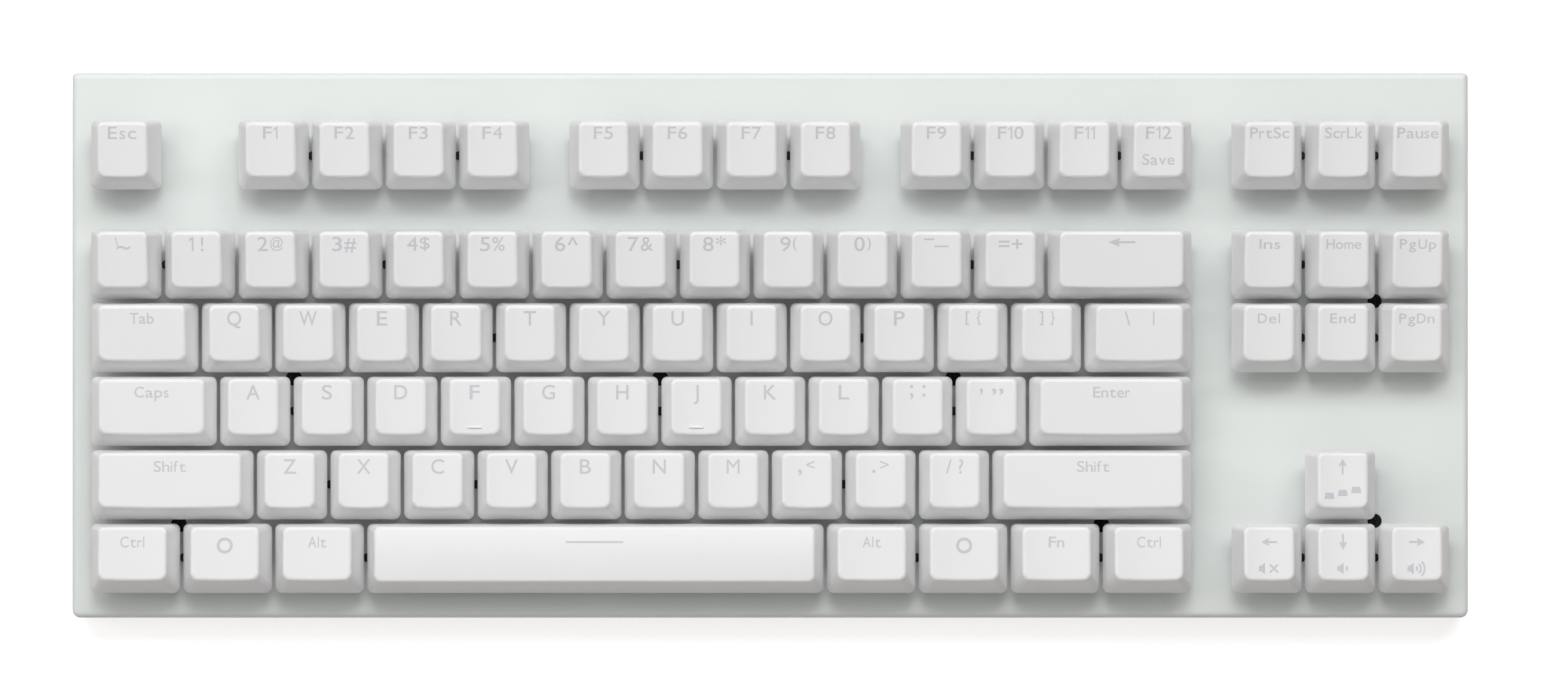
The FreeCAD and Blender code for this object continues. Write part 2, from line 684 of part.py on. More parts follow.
def make_stabiliser_slider():
    """A slider with its cross on top and a slot at its rear for the wire's tip."""
    tip_z = WIRE_PIVOT_Z + KEY_TRAVEL / 2
    block = box(SLIDER_SIZE[0], SLIDER_SIZE[1], tip_z - 2.4, STEM_SHOULDER)
    post = cross(CROSS_ARM, CROSS_WIDTH, STEM_SHOULDER - 0.5, STEM_TOP)
    slot = box(2.2, 12, tip_z - 1.6, tip_z + 1.6, Vector(0, 4.8, 0))
    return block.fuse(post).removeSplitter().cut(slot)


def make_stabiliser_wire(spread):
    """A bent wire that keeps both ends of a long key level: a bar and two arms."""
    left = Vector(-spread, WIRE_PIVOT_Y, WIRE_PIVOT_Z)
    right = Vector(spread, WIRE_PIVOT_Y, WIRE_PIVOT_Z)
    bar = Part.makeCylinder(WIRE_RADIUS, 2 * spread, left, X_AXIS)
    rise = math.radians(WIRE_RISE)
    along = Vector(0, -math.cos(rise), math.sin(rise))
    pieces = []
    for elbow in (left, right):
        pieces.append(Part.makeSphere(WIRE_RADIUS, elbow))
        pieces.append(Part.makeCylinder(WIRE_RADIUS, WIRE_ARM, elbow, along))
    return bar.fuse(pieces)


def make_stabiliser_housings():
    """Two guides under each long key."""
    housing = make_stabiliser_housing()
    found = []
    for key in KEYS:
        for offset in stabiliser_offsets(key):
            found.append(placed(housing, key["centre"] + Vector(offset, 0, 0)))
    return Part.makeCompound(found)


# ---------------------------------------------------------------- keycaps
def top_plane(profile):
    """Middle of a cap's top, its tilt in degrees and its length up the tilt."""
    base = KEY_PITCH - CAP_ROW_GAP
    front = -base / 2 + profile["front_run"]
    rear = base / 2 - profile["rear_run"]
    low = KEY_REST_RIM + profile["front_rise"]
    high = KEY_REST_RIM + profile["rear_rise"]
    middle = Vector(0, (front + rear) / 2, (low + high) / 2)
    tilt = math.degrees(math.atan2(high - low, rear - front))
    return middle, tilt, math.hypot(high - low, rear - front)


def cap_loft(units, profile, inset, drop, lift=0.0):
    """A cap's block from its rim to its top, drawn in by an inset and lowered by a drop."""
    width = units * KEY_PITCH - CAP_SIDE_GAP
    depth = KEY_PITCH - CAP_ROW_GAP
    middle, tilt, length = top_plane(profile)
    rim = rectangle_wire(
        width - 2 * inset, depth - 2 * inset, CAP_BASE_REAR_RADIUS, CAP_BASE_FRONT_RADIUS)
    rim.translate(Vector(0, 0, KEY_REST_RIM))
    top = rectangle_wire(
        width - 2 * CAP_SIDE_RUN - 2 * inset, length - 2 * inset,
        CAP_TOP_REAR_RADIUS - inset / 2, CAP_TOP_FRONT_RADIUS - inset / 2)
    top.rotate(ORIGIN, X_AXIS, tilt)
    top.translate(middle + Vector(0, 0, lift - drop))
    return Part.makeLoft([rim, top], True, True)


def dish_tool(width, profile):
    """A long cylinder that hollows a cap's top across its width."""
    middle, tilt, _ = top_plane(profile)
    half = width / 2 - CAP_SIDE_RUN
    radius = (half ** 2 + CAP_DISH_DEPTH ** 2) / (2 * CAP_DISH_DEPTH)
    start = Vector(0, -30, radius - CAP_DISH_DEPTH)
    tool = Part.makeCylinder(radius, 60, start, Y_AXIS)
    tool.rotate(ORIGIN, X_AXIS, tilt)
    tool.translate(middle)
    return tool


def crown_tool(width, profile):
    """A long cylinder whose back is the crowned top of the space bar."""
    middle, tilt, _ = top_plane(profile)
    start = Vector(-width / 2 - 5, 0, -SPACE_CROWN_RADIUS)
    tool = Part.makeCylinder(SPACE_CROWN_RADIUS, width + 10, start, X_AXIS)
    tool.rotate(ORIGIN, X_AXIS, tilt)
    tool.translate(middle - Vector(0, 0, SPACE_CROWN_SINK))
    return tool


def top_edges(shape, profile):
    """The edges around a cap's hollowed or crowned top."""
    middle, tilt, _ = top_plane(profile)
    up = Vector(0, -math.sin(math.radians(tilt)), math.cos(math.radians(tilt)))
    edges = []
    for face in shape.Faces:
        u_low, u_high, v_low, v_high = face.ParameterRange
        normal = face.normalAt((u_low + u_high) / 2, (v_low + v_high) / 2)
        if normal.dot(up) > 0.9 and face.CenterOfMass.z > KEY_REST_RIM + 4:
            edges += face.Edges
    return edges


def make_keycap(units, row, space=False, homing=False):
    """A hollow sculpted cap with a cross socket over each stem."""
    profile = CAP_PROFILES[row]
    width = units * KEY_PITCH - CAP_SIDE_GAP
    if space:
        block = cap_loft(units, profile, 0, 0, lift=SPACE_CROWN_LIFT)
        cap = block.common(crown_tool(width, profile))
    else:
        cap = cap_loft(units, profile, 0, 0).cut(dish_tool(width, profile))
    cap = cap.makeFillet(CAP_EDGE_RADIUS, top_edges(cap, profile))
    if homing:
        cap = cap.fuse(homing_bar(profile)).removeSplitter()

    hollow = cap_loft(units, profile, CAP_WALL, CAP_ROOF)
    low, high = STEM_SHOULDER + 0.1, STEM_TOP + 0.1
    bosses, sockets = [], []
    spread = SPACE_STABILISER_SPREAD if space else STABILISER_SPREAD
    offsets = [-spread, 0, spread] if units >= 2 else [0]
    for offset in offsets:
        place = Vector(offset, 0, 0)
        bosses.append(cylinder(CAP_BOSS_RADIUS, low, KEY_REST_RIM + 8, place))
        socket = cross(CROSS_ARM + 0.1, CROSS_WIDTH + 0.1, low - 1, high)
        sockets.append(placed(socket, place))
    hollow = hollow.cut(bosses)
    cap = cap.cut(hollow)
    return cap.cut(sockets)


def homing_bar(profile):
    """The raised bar that a fingertip feels on the two resting keys."""
    middle, tilt, length = top_plane(profile)
    bar = box(3.8, 0.6, -0.4, 0.35)
    bar = bar.makeFillet(0.2, [edge for edge in bar.Edges if edge.BoundBox.ZMin > 0])
    bar.translate(Vector(0, 0, -CAP_DISH_DEPTH))
    bar.rotate(ORIGIN, X_AXIS, tilt)
    bar.translate(middle + Vector(0, -length / 2 + 1.6, 0))
    return bar


def make_key_nodes():
    """Every key's cap, stem and sliders, gathered into their nodes."""
    caps = {}
    stem = make_switch_stem()
    slider = make_stabiliser_slider()
    nodes = {}
    for key in KEYS:
        homing = key["name"] in HOMING_KEYS
        kind = (key["units"], key["row"], key["name"] == "space", homing)
        if kind not in caps:
            caps[kind] = make_keycap(*kind)
        solids = nodes.setdefault(node_of(key["name"]), [])
        solids.append(placed(caps[kind], key["centre"]))
        solids.append(placed(stem, key["centre"]))
        for offset in stabiliser_offsets(key):
            solids.append(placed(slider, key["centre"] + Vector(offset, 0, 0)))
    return {node: Part.makeCompound(solids) for node, solids in nodes.items()}


# ---------------------------------------------------------------- assembly
def make_nodes():
    """Every node's shape in the panel's frame, by name."""
    nodes = {
        "bottom_case": make_bottom_case(),
        "top_panel": make_top_panel(),
        "circuit_board": make_circuit_board(),
        "sound_foam": make_sound_foam(),
        "switch_bases": at_every_key(make_switch_base()),
        "switch_covers": at_every_key(make_switch_cover()),
        "switch_springs": at_every_key(make_switch_spring()),
        "switch_contacts": at_every_key(make_switch_contact()),
        "key_leds": make_key_leds(),
        "controller_chip": make_controller_chip(),
        "usb_socket": make_usb_socket(),
        "panel_screws": make_panel_screws(),
        "locating_pins": make_locating_pins(),
        "rubber_feet": make_rubber_feet(),
        "left_tilt_foot": make_tilt_foot(-1),
        "right_tilt_foot": make_tilt_foot(1),
        "stabiliser_housings": make_stabiliser_housings(),
    }
    for key in KEYS:
        if key["name"] in STABILISED_KEYS:
            wire = make_stabiliser_wire(stabiliser_offsets(key)[1])
            nodes[key["name"] + "_wire"] = placed(wire, key["centre"])
    nodes.update(make_key_nodes())
    return nodes


def desk_shift(nodes):
    """How far the keyboard moves, once tilted, to stand over the desk's origin."""
    body = Part.makeCompound([on_slope(nodes[name]) for name in ("bottom_case", "top_panel")])
    bounds = body.optimalBoundingBox(False)
    return Vector(0, -(bounds.YMin + bounds.YMax) / 2, RUBBER_STAND)


def on_slope(shape):
    """Turn a shape from the panel's frame so that the case's underside is level."""
    turned = shape.copy()
    turned.translate(-FLOOR_ORIGIN)
    turned.rotate(ORIGIN, X_AXIS, TYPING_ANGLE)
    return turned


def main():
    """Write each node, standing on the desk, to its own file."""
    os.makedirs("parts", exist_ok=True)
    nodes = make_nodes()
    shift = desk_shift(nodes)
    for name, shape in nodes.items():
        standing = on_slope(shape)
        standing.translate(shift)
        standing.exportStep(f"parts/{name}.step")
    print(f"{len(nodes)} nodes, {sum(len(s.Solids) for s in nodes.values())} solids")


main()
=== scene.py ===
import json
import math

import bmesh
import bpy
from mathutils import Matrix, Vector
from mathutils.bvhtree import BVHTree


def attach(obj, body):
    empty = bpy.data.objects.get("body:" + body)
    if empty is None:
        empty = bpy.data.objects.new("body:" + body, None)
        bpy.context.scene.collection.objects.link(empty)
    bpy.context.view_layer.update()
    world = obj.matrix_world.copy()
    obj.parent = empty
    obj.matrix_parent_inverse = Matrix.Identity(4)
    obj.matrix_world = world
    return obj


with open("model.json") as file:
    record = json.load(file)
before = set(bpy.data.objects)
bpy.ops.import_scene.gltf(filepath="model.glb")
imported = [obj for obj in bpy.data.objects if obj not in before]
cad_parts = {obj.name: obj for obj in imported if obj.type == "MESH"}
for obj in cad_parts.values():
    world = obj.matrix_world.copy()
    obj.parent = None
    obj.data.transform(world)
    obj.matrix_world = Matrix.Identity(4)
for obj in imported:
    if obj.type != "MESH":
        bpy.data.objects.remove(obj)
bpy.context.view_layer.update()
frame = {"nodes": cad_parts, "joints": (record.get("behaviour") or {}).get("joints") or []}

# A white 87-key mechanical keyboard seen square to its top panel. The CAD holds every moving
# piece; this script gives each one its finish and adds the legends moulded into the caps.

MM = 0.001


# ---------------------------------------------------------------- the panel's own directions
def joint_named(name):
    """One of the frame's joints."""
    return next(joint for joint in frame["joints"] if joint["name"] == name)


UP = -Vector(joint_named("escape_press")["axis"]).normalized()
RIGHT = Vector((1, 0, 0))
BACK = UP.cross(RIGHT)
TO_PANEL = Matrix((RIGHT, BACK, UP))
TO_ROW = TO_PANEL.transposed()


def outline(node):
    """Lowest and highest corner of a CAD node along the panel's own directions."""
    points = [TO_PANEL @ vertex.co for vertex in frame["nodes"][node].data.vertices]
    low = Vector([min(point[i] for point in points) for i in range(3)])
    high = Vector([max(point[i] for point in points) for i in range(3)])
    return low, high


def middle(node):
    """The middle of a CAD node's outline along the panel's own directions."""
    low, high = outline(node)
    return (low + high) / 2


# ---------------------------------------------------------------- what the legends say
# A mark is a drawing in the plane of a key's top: a text or a shape, in millimetres,
# X to the right and Y to the rear from the place where the legend is centred.
LETTER_HEIGHT = 3.7
PAIR_HEIGHT = 3.6
FUNCTION_HEIGHT = 3.15
WORD_HEIGHT = 2.75
SMALL_HEIGHT = 2.5
STROKE = 0.5
LOWER_MARK = -6.8

# How wide each word is from end to end; other texts are set with the usual gap.
WORD_WIDTHS = {
    "Esc": 7.3, "Save": 8.3, "PrtSc": 10.1, "ScrLk": 9.7, "Pause": 10.6,
    "Ins": 5.3, "Home": 9.0, "PgUp": 9.4, "Del": 5.7, "End": 6.5, "PgDn": 9.1,
    "Tab": 6.1, "Caps": 8.8, "Enter": 9.5, "Shift": 8.3, "Ctrl": 6.2, "Alt": 4.7, "Fn": 4.0,
}


def text(words, height, x=0.0, y=0.0):
    """A mark set in type, given by the height of its capitals."""
    return {"text": words, "height": height, "at": (x, y)}


def shape(loops, x=0.0, y=0.0):
    """A mark drawn as closed outlines; one outline inside another is a hole."""
    return {"loops": loops, "at": (x, y)}


def turned(loops, quarter_turns):
    """Outlines turned to the left by some quarter turns."""
    angle = quarter_turns * math.pi / 2
    c, s = round(math.cos(angle)), round(math.sin(angle))
    return [[(c * x - s * y, s * x + c * y) for x, y in loop] for loop in loops]


def arrow(length, head=2.1, spread=1.1, barb=0.3):
    """An arrow that points to the right."""
    tip, neck, tail, half = length / 2, length / 2 - head, -length / 2, STROKE / 2
    return [[(tip, 0), (neck, spread), (neck + barb, half), (tail, half),
             (tail, -half), (neck + barb, -half), (neck, -spread)]]


def ring_arc(radius, half_angle, width=STROKE, steps=8):
    """A stroke along an arc about the origin, open to the left."""
    angles = [half_angle * (2 * i / steps - 1) for i in range(steps + 1)]
    outer = [((radius + width / 2) * math.cos(a), (radius + width / 2) * math.sin(a))
             for a in angles]
    inner = [((radius - width / 2) * math.cos(a), (radius - width / 2) * math.sin(a))
             for a in reversed(angles)]
    return outer + inner


def speaker(waves):
    """A loudspeaker with sound waves at its right."""
    body = [(-1.7, -0.7), (-1.7, 0.7), (-1.1, 0.7), (-0.1, 1.5), (-0.1, -1.5), (-1.1, -0.7)]
    return [body] + [ring_arc(0.8 + 0.95 * i, 0.75) for i in range(waves)]


def cross_mark(size):
    """A diagonal cross."""
    arm, half = size / 2, STROKE / math.sqrt(2)
    corner = [(half, 0), (arm, arm - half), (arm - half, arm)]
    loop = []
    for turn in range(4):
        loop += turned([corner], turn)[0]
    return [loop]


def rising_bars(count, width=2.6, height=1.6, pitch=3.45, rise=0.75, slant=0.3):
    """Blocks in a row, each a little higher than the last and narrower at its top."""
    loops = []
    for i in range(count):
        place = i - (count - 1) / 2
        x, low, high = place * pitch, place * rise - height / 2, place * rise + height / 2
        loops.append([(x - width / 2, low), (x + width / 2, low),
                      (x + width / 2 - slant, high), (x - width / 2 + slant, high)])
    return loops


def ring(radius, width=STROKE, steps=32):
    """A circle drawn with a stroke, as an outer loop and a hole."""
    turns = [2 * math.pi * i / steps for i in range(steps)]
    return [[(r * math.cos(a), r * math.sin(a)) for a in turns]
            for r in (radius + width / 2, radius - width / 2)]


def bar(length, width):
    """A plain bar."""
    x, y = length / 2, width / 2
    return [[(-x, -y), (x, -y), (x, y), (-x, y)]]


# ---------------------------------------------------------------- which key carries what
# Each row is a run of (width in key pitches, body, marks); a gap has no body.
def gap(width):
    """A stretch of the row without a key."""
    return [(width, None, [])]


def single(body, marks, width=1.0):
    """One key with its marks."""
    return [(width, body, marks)]


def several(body, marks_of_each, width=1.0):
    """A run of keys on the same body."""
    return [(width, body, marks) for marks in marks_of_each]


def words(height, *names):
    """The marks of keys that carry one word each."""
    return [[text(name, height)] for name in names]


def pairs(*both):
    """Pairs of signs side by side; each space between them sets them wider apart."""
    return [[text(characters, PAIR_HEIGHT)] for characters in both]


def letters(names):
    """A run of letter keys, each on its own body."""
    return [(1.0, "letter_" + name.lower(), [text(name, LETTER_HEIGHT)]) for name in names]


def function_names(first, last):
    """The marks of a run of function keys."""
    return [[text(f"F{n}", FUNCTION_HEIGHT)] for n in range(first, last + 1)]


def word_key(body, name, width=1.0, height=WORD_HEIGHT):
    """A key that carries one word."""
    return single(body, [text(name, height)], width)


# The keys whose signs don't simply stand side by side.
SYSTEM_MARK = [shape(ring(1.7, 0.75), y=-0.9)]
TICK_MARKS = [text("\\", 2.2, -1.45, 0.6), text("~", 4.2, 0.3, -0.5)]
SAVE_MARKS = [text("F12", FUNCTION_HEIGHT), text("Save", WORD_HEIGHT, y=LOWER_MARK)]
COLON_MARKS = [text("; :", 4.4, y=1.1)]
QUOTE_MARKS = [text("\u2019 \u201d", 4.4, y=-1.3)]
COMMA_MARKS = [text(",", 4.4, -1.8, 0.6), text("<", 2.8, 0.9, 0.4)]
STOP_MARKS = [text(".", 4.4, -1.8, 0.6), text(">", 2.8, 0.9, 0.4)]
MINUS_MARKS = [shape(bar(2.6, 0.4), -1.9, 1.2), shape(bar(3.7, 0.4), 1.25, -0.6)]

ROWS = {
    "escape_key":
        word_key("escape_key", "Esc", height=FUNCTION_HEIGHT) + gap(1)
        + several("function_keys", function_names(1, 4)) + gap(0.5)
        + several("function_keys", function_names(5, 8)) + gap(0.5)
        + several("function_keys", function_names(9, 11) + [SAVE_MARKS]) + gap(0.5)
        + several("navigation_keys", words(WORD_HEIGHT, "PrtSc", "ScrLk", "Pause")),
    "number_keys":
        several("number_keys", [TICK_MARKS] + pairs(
            "1 !", "2@", "3#", "4$", "5%", "6^", "7&", "8*", "9(", "0)")
            + [MINUS_MARKS] + pairs("=+"))
        + single("backspace_key", [shape(turned(arrow(7.0, head=3.0), 2), y=0.45)], 2) + gap(0.5)
        + several("navigation_keys", words(SMALL_HEIGHT, "Ins", "Home", "PgUp")),
    "letter_q":
        word_key("modifier_keys", "Tab", 1.5) + letters("QWERTYUIOP")
        + several("punctuation_keys", pairs("[ {", "] }"))
        + several("punctuation_keys", pairs("\\    |"), 1.5) + gap(0.5)
        + several("navigation_keys", words(SMALL_HEIGHT, "Del", "End", "PgDn")),
    "letter_a":
        word_key("modifier_keys", "Caps", 1.75) + letters("ASDFGHJKL")
        + several("punctuation_keys", [COLON_MARKS, QUOTE_MARKS])
        + word_key("enter_key", "Enter", 2.25),
    "letter_z":
        word_key("left_shift_key", "Shift", 2.25) + letters("ZXCVBNM")
        + several("punctuation_keys", [COMMA_MARKS, STOP_MARKS] + pairs("/ ?"))
        + word_key("right_shift_key", "Shift", 2.75) + gap(1.5)
        + single("arrow_keys", [shape(turned(arrow(4.1), 1)),
                                shape(rising_bars(3), y=LOWER_MARK)]),
    "space_key":
        word_key("modifier_keys", "Ctrl", 1.25)
        + single("modifier_keys", SYSTEM_MARK, 1.25)
        + word_key("modifier_keys", "Alt", 1.25)
        + single("space_key", [shape(bar(14.8, 0.5))], 6.25)
        + word_key("modifier_keys", "Alt", 1.25)
        + single("modifier_keys", SYSTEM_MARK, 1.25)
        + word_key("modifier_keys", "Fn", 1.25)
        + word_key("modifier_keys", "Ctrl", 1.25) + gap(0.5)
        + single("arrow_keys", [shape(turned(arrow(4.1), 2)),
                                shape(speaker(0), -1.0, LOWER_MARK),
                                shape(cross_mark(2.4), 1.2, LOWER_MARK)])
        + single("arrow_keys", [shape(turned(arrow(4.1), 3)),
                                shape(speaker(1), 0.2, LOWER_MARK)])
        + single("arrow_keys", [shape(arrow(4.1)), shape(speaker(3), -0.8, LOWER_MARK)]),
}

# How far the legends sit to the rear of their key's centre, for each row.
LEGEND_BACK = {
    "escape_key": 5.35, "number_keys": 5.05, "letter_q": 5.0,
    "letter_a": 5.0, "letter_z": 4.9, "space_key": 4.5,
}


# ---------------------------------------------------------------- drawing the legends
def flat_mesh(curve):
    """The filled outline of a text or a flat curve, as a mesh."""
    draft = bpy.data.objects.new("draft", curve)
    bpy.context.scene.collection.objects.link(draft)
    bpy.context.view_layer.update()
    shown = draft.evaluated_get(bpy.context.evaluated_depsgraph_get())
    mesh = bpy.data.meshes.new_from_object(shown)
    bpy.data.objects.remove(draft)
    bpy.data.curves.remove(curve)
    return mesh


def extent(mesh, axis):
    """A mesh's lowest and highest place along an axis."""
    values = [vertex.co[axis] for vertex in mesh.vertices]
    return min(values), max(values)


def loops_mesh(loops):
    """Closed outlines, filled."""
    curve = bpy.data.curves.new("draft", "CURVE")
    curve.dimensions = "2D"
    curve.fill_mode = "BOTH"
    for loop in loops:
        spline = curve.splines.new("POLY")
        spline.points.add(len(loop) - 1)
        for point, (x, y) in zip(spline.points, loop):
            point.co = (x, y, 0, 1)
        spline.use_cyclic_u = True
    return flat_mesh(curve)


# Characters are drawn one by one, in units of a capital's height. The wide ones are drawn
# in and the narrow ones out, and tall signs are brought to the height of a capital. Strokes
# are thickened a little, except where a sharp inner corner would fold over.
LETTER_BOLD = 0.006
SHARP_SIGNS = "4M"
LETTER_GAP = 0.15
NARROWEST_GAP = 0.7
WIDEST_GAP = 1.4
EVENED_FROM = 0.5
EVENED_BASE = 0.42
EVENED_SLOPE = 0.52
TALL_SIGNS = "@$%&()[]{}|/\\"
SPACE_WIDTH = 0.22
ONE = [(0.2, 0), (0.33, 0), (0.33, 1), (0.23, 1), (0, 0.8), (0, 0.67), (0.2, 0.81)]


def font_mesh(character):
    """A character of the built-in font, filled."""
    curve = bpy.data.curves.new("draft", "FONT")
    curve.body = character
    curve.resolution_u = 4
    curve.offset = 0.0 if character in SHARP_SIGNS else LETTER_BOLD
    return flat_mesh(curve)


CAPITAL_HEIGHT = extent(font_mesh("H"), 1)[1]
GLYPHS = {}


def glyph(character):
    """One character's mesh with its left edge at zero, and its width."""
    if character not in GLYPHS:
        if character == "1":
            mesh = loops_mesh([ONE])
        else:
            mesh = font_mesh(character)
            mesh.transform(Matrix.Scale(1 / CAPITAL_HEIGHT, 4))
        if character in TALL_SIGNS:
            low, high = extent(mesh, 1)
            mesh.transform(Matrix.Scale(1 / (high - low), 4) @ Matrix.Translation((0, -low, 0)))
        left, right = extent(mesh, 0)
        width = right - left
        evened = EVENED_BASE + EVENED_SLOPE * width if width > EVENED_FROM else width
        stretch = Matrix.Diagonal((evened / width, 1, 1, 1))
        mesh.transform(stretch @ Matrix.Translation((-left, 0, 0)))
        GLYPHS[character] = mesh, evened
    return GLYPHS[character]


def text_meshes(mark):
    """A text's characters side by side about the legend's place, in millimetres."""
    characters, height = mark["text"], mark["height"]
    solid = sum(SPACE_WIDTH if character == " " else glyph(character)[1]
                for character in characters) * height
    steps = len(characters) - 1
    stretch, space = 1.0, LETTER_GAP * height
    if characters in WORD_WIDTHS:
        target = WORD_WIDTHS[characters]
        space = min(WIDEST_GAP * space, max(NARROWEST_GAP * space, (target - solid) / steps))
        stretch = (target - steps * space) / solid
    x, y = mark["at"]
    x -= (solid * stretch + steps * space) / 2
    meshes = []
    for character in characters:
        if character == " ":
            x += SPACE_WIDTH * height * stretch + space
            continue
        source, width = glyph(character)
        mesh = source.copy()
        place = Matrix.Translation((x, y - height / 2, 0))
        mesh.transform(place @ Matrix.Diagonal((height * stretch, height, 1, 1)))
        meshes.append(mesh)
        x += width * height * stretch + space
    return meshes


def mark_meshes(mark):
    """A mark's flat meshes in millimetres about the legend's place."""
    if "text" in mark:
        return text_meshes(mark)
    mesh = loops_mesh(mark["loops"])
    mesh.transform(Matrix.Translation(Vector((*mark["at"], 0))))
    return [mesh]


# The grid that a drawing is cut into, how far its solid stands out of the cap and reaches
# in, and how far above the caps the rays start that find their tops, all in millimetres.
LEGEND_STEPS = (0.8, 0.4)
LEGEND_PROUD = 0.04
LEGEND_DEPTH = 0.3
CLEAR_OF_CAPS = 5.0


def sliced(meshes):
    """One flat bmesh of several, cut into a grid so that it can follow a cap's top."""
    flat = bmesh.new()
    for mesh in meshes:
        flat.from_mesh(mesh)
        bpy.data.meshes.remove(mesh)
    for axis, step in enumerate(LEGEND_STEPS):
        across = Vector((1, 0, 0)) if axis == 0 else Vector((0, 1, 0))
        places = [vertex.co[axis] / step for vertex in flat.verts]
        for i in range(math.ceil(min(places)), math.floor(max(places)) + 1):
            everything = flat.verts[:] + flat.edges[:] + flat.faces[:]
            bmesh.ops.bisect_plane(
                flat, geom=everything, plane_co=across * i * step, plane_no=across)
    return flat


def project(flat, centre, tree, height):
    """Top and bottom points of a flat drawing laid on a cap's top."""
    tops, bottoms = [], []
    for vertex in flat.verts:
        start = TO_ROW @ Vector((
            centre.x + vertex.co.x * MM, centre.y + vertex.co.y * MM, height))
        hit = tree.ray_cast(start, -UP)[0]
        tops.append(hit + UP * LEGEND_PROUD * MM)
        bottoms.append(hit - UP * LEGEND_DEPTH * MM)
    return tops, bottoms


def add_inlay(target, flat, tops, bottoms):
    """Adds to target the closed solid between a drawing's top and bottom points."""
    flat.verts.index_update()
    upper = [target.verts.new(point) for point in tops]
    lower = [target.verts.new(point) for point in bottoms]
    for face in flat.faces:
        corners = [vertex.index for vertex in face.verts]
        if face.normal.z < 0:
            corners.reverse()
        target.faces.new([upper[i] for i in corners])
        target.faces.new([lower[i] for i in reversed(corners)])
        for a, b in zip(corners, corners[1:] + corners[:1]):
            edge = flat.edges.get((flat.verts[a], flat.verts[b]))
            if len(edge.link_faces) == 1:
                target.faces.new((upper[b], upper[a], lower[a], lower[b]))


def make_legends(finish):
    """One piece of moulded-in legends for each body that carries any."""
    pitch = middle("letter_w").x - middle("letter_q").x
    field_left = middle("escape_key").x - pitch / 2
    built, trees = {}, {}
    for row, keys in ROWS.items():
        y = middle(row).y + LEGEND_BACK[row] * MM
        height = outline(row)[1].z + CLEAR_OF_CAPS * MM
        left = field_left
        for width, body, marks in keys:
            centre = Vector((left + width * pitch / 2, y, 0))
            left += width * pitch
            if not marks:
                continue
            if body not in built:
                built[body] = bmesh.new()
                graph = bpy.context.evaluated_depsgraph_get()
                trees[body] = BVHTree.FromObject(frame["nodes"][body], graph)
            flat = sliced([mesh for mark in marks for mesh in mark_meshes(mark)])
            flat.verts.ensure_lookup_table()
            flat.normal_update()
            tops, bottoms = project(flat, centre, trees[body], height)
            add_inlay(built[body], flat, tops, bottoms)
            flat.free()
    for body, solid in built.items():
        mesh = bpy.data.meshes.new("legend_" + body)
        solid.to_mesh(mesh)
        solid.free()
        mesh.materials.append(finish)
        piece = bpy.data.objects.new("legend_" + body, mesh)
        bpy.context.scene.collection.objects.link(piece)
        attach(piece, body)


# ---------------------------------------------------------------- finishes
def add_node(tree, kind, links=None, **settings):
    """A shader node with its settings, sockets by number or name, and incoming links."""
    node = tree.nodes.new(kind)
    for name, value in settings.items():
        setattr(node, name, value)
    for socket, source in (links or {}).items():
        if isinstance(source, (int, float, tuple)):
            node.inputs[socket].default_value = source
        else:
            tree.links.new(source, node.inputs[socket])
    return node


def noise(tree, place, scale, detail=3.0, roughness=0.5):
    """A noise texture's value."""
    return add_node(tree, "ShaderNodeTexNoise", {
        "Vector": place, "Scale": scale, "Detail": detail, "Roughness": roughness,
    }).outputs["Fac"]


def spread(tree, factor, low, high):
    """Maps a texture's middle range to a range of values."""
    return add_node(tree, "ShaderNodeMapRange", {
        "Value": factor, "From Min": 0.3, "From Max": 0.7, "To Min": low, "To Max": high,
    }).outputs["Result"]


def linear(*srgb):
    """A colour given as the 0 to 255 values that a screen shows."""
    return tuple(
        v / 255 / 12.92 if v <= 10 else ((v / 255 + 0.055) / 1.055) ** 2.4 for v in srgb)


def shaded(colour, amount):
    """A colour made darker, with full opacity."""
    return tuple(channel * amount for channel in colour) + (1.0,)


def finish(name, colour, roughness, grain=4000.0, grain_depth=0.01, uneven=0.03,
           cloud=60.0, coarse=0.0, stretch=(1.0, 1.0, 1.0), **sockets):
    """A principled finish with fine grain, slightly uneven colour and slightly uneven gloss.

    grain is in bumps per metre and grain_depth in millimetres. coarse adds a second, broader
    relief of that depth, stretch draws the grain out, and sockets go to the shader."""
    made = bpy.data.materials.new(name)
    made.use_nodes = True
    tree = made.node_tree
    shader = tree.nodes["Principled BSDF"]
    place = add_node(tree, "ShaderNodeTexCoord").outputs["Object"]
    drawn = add_node(tree, "ShaderNodeMapping", {"Vector": place, "Scale": stretch}).outputs[0]

    cloudy = noise(tree, place, cloud, 4.0)
    tint = add_node(tree, "ShaderNodeMix", {
        "Factor": spread(tree, cloudy, 0.0, 1.0),
    }, data_type="RGBA")
    colour_sockets = [s for s in tint.inputs if s.type == "RGBA"]
    colour_sockets[0].default_value = shaded(colour, 1.0 - uneven)
    colour_sockets[1].default_value = shaded(colour, 1.0)
    tinted = next(s for s in tint.outputs if s.type == "RGBA")
    tree.links.new(tinted, shader.inputs["Base Color"])

    fine = noise(tree, drawn, grain, 2.0)
    gloss = spread(tree, noise(tree, drawn, grain / 9, 3.0), roughness - 0.05, roughness + 0.05)
    tree.links.new(gloss, shader.inputs["Roughness"])
    bump = add_node(tree, "ShaderNodeBump", {
        "Height": fine, "Strength": 1.0, "Distance": grain_depth * MM,
    })
    if coarse:
        bump = add_node(tree, "ShaderNodeBump", {
            "Height": noise(tree, drawn, grain / 5, 2.0), "Strength": 1.0,
            "Distance": coarse * MM, "Normal": bump.outputs["Normal"],
        })
    tree.links.new(bump.outputs["Normal"], shader.inputs["Normal"])
    for socket, value in sockets.items():
        shader.inputs[socket.replace("_", " ")].default_value = value
    return made


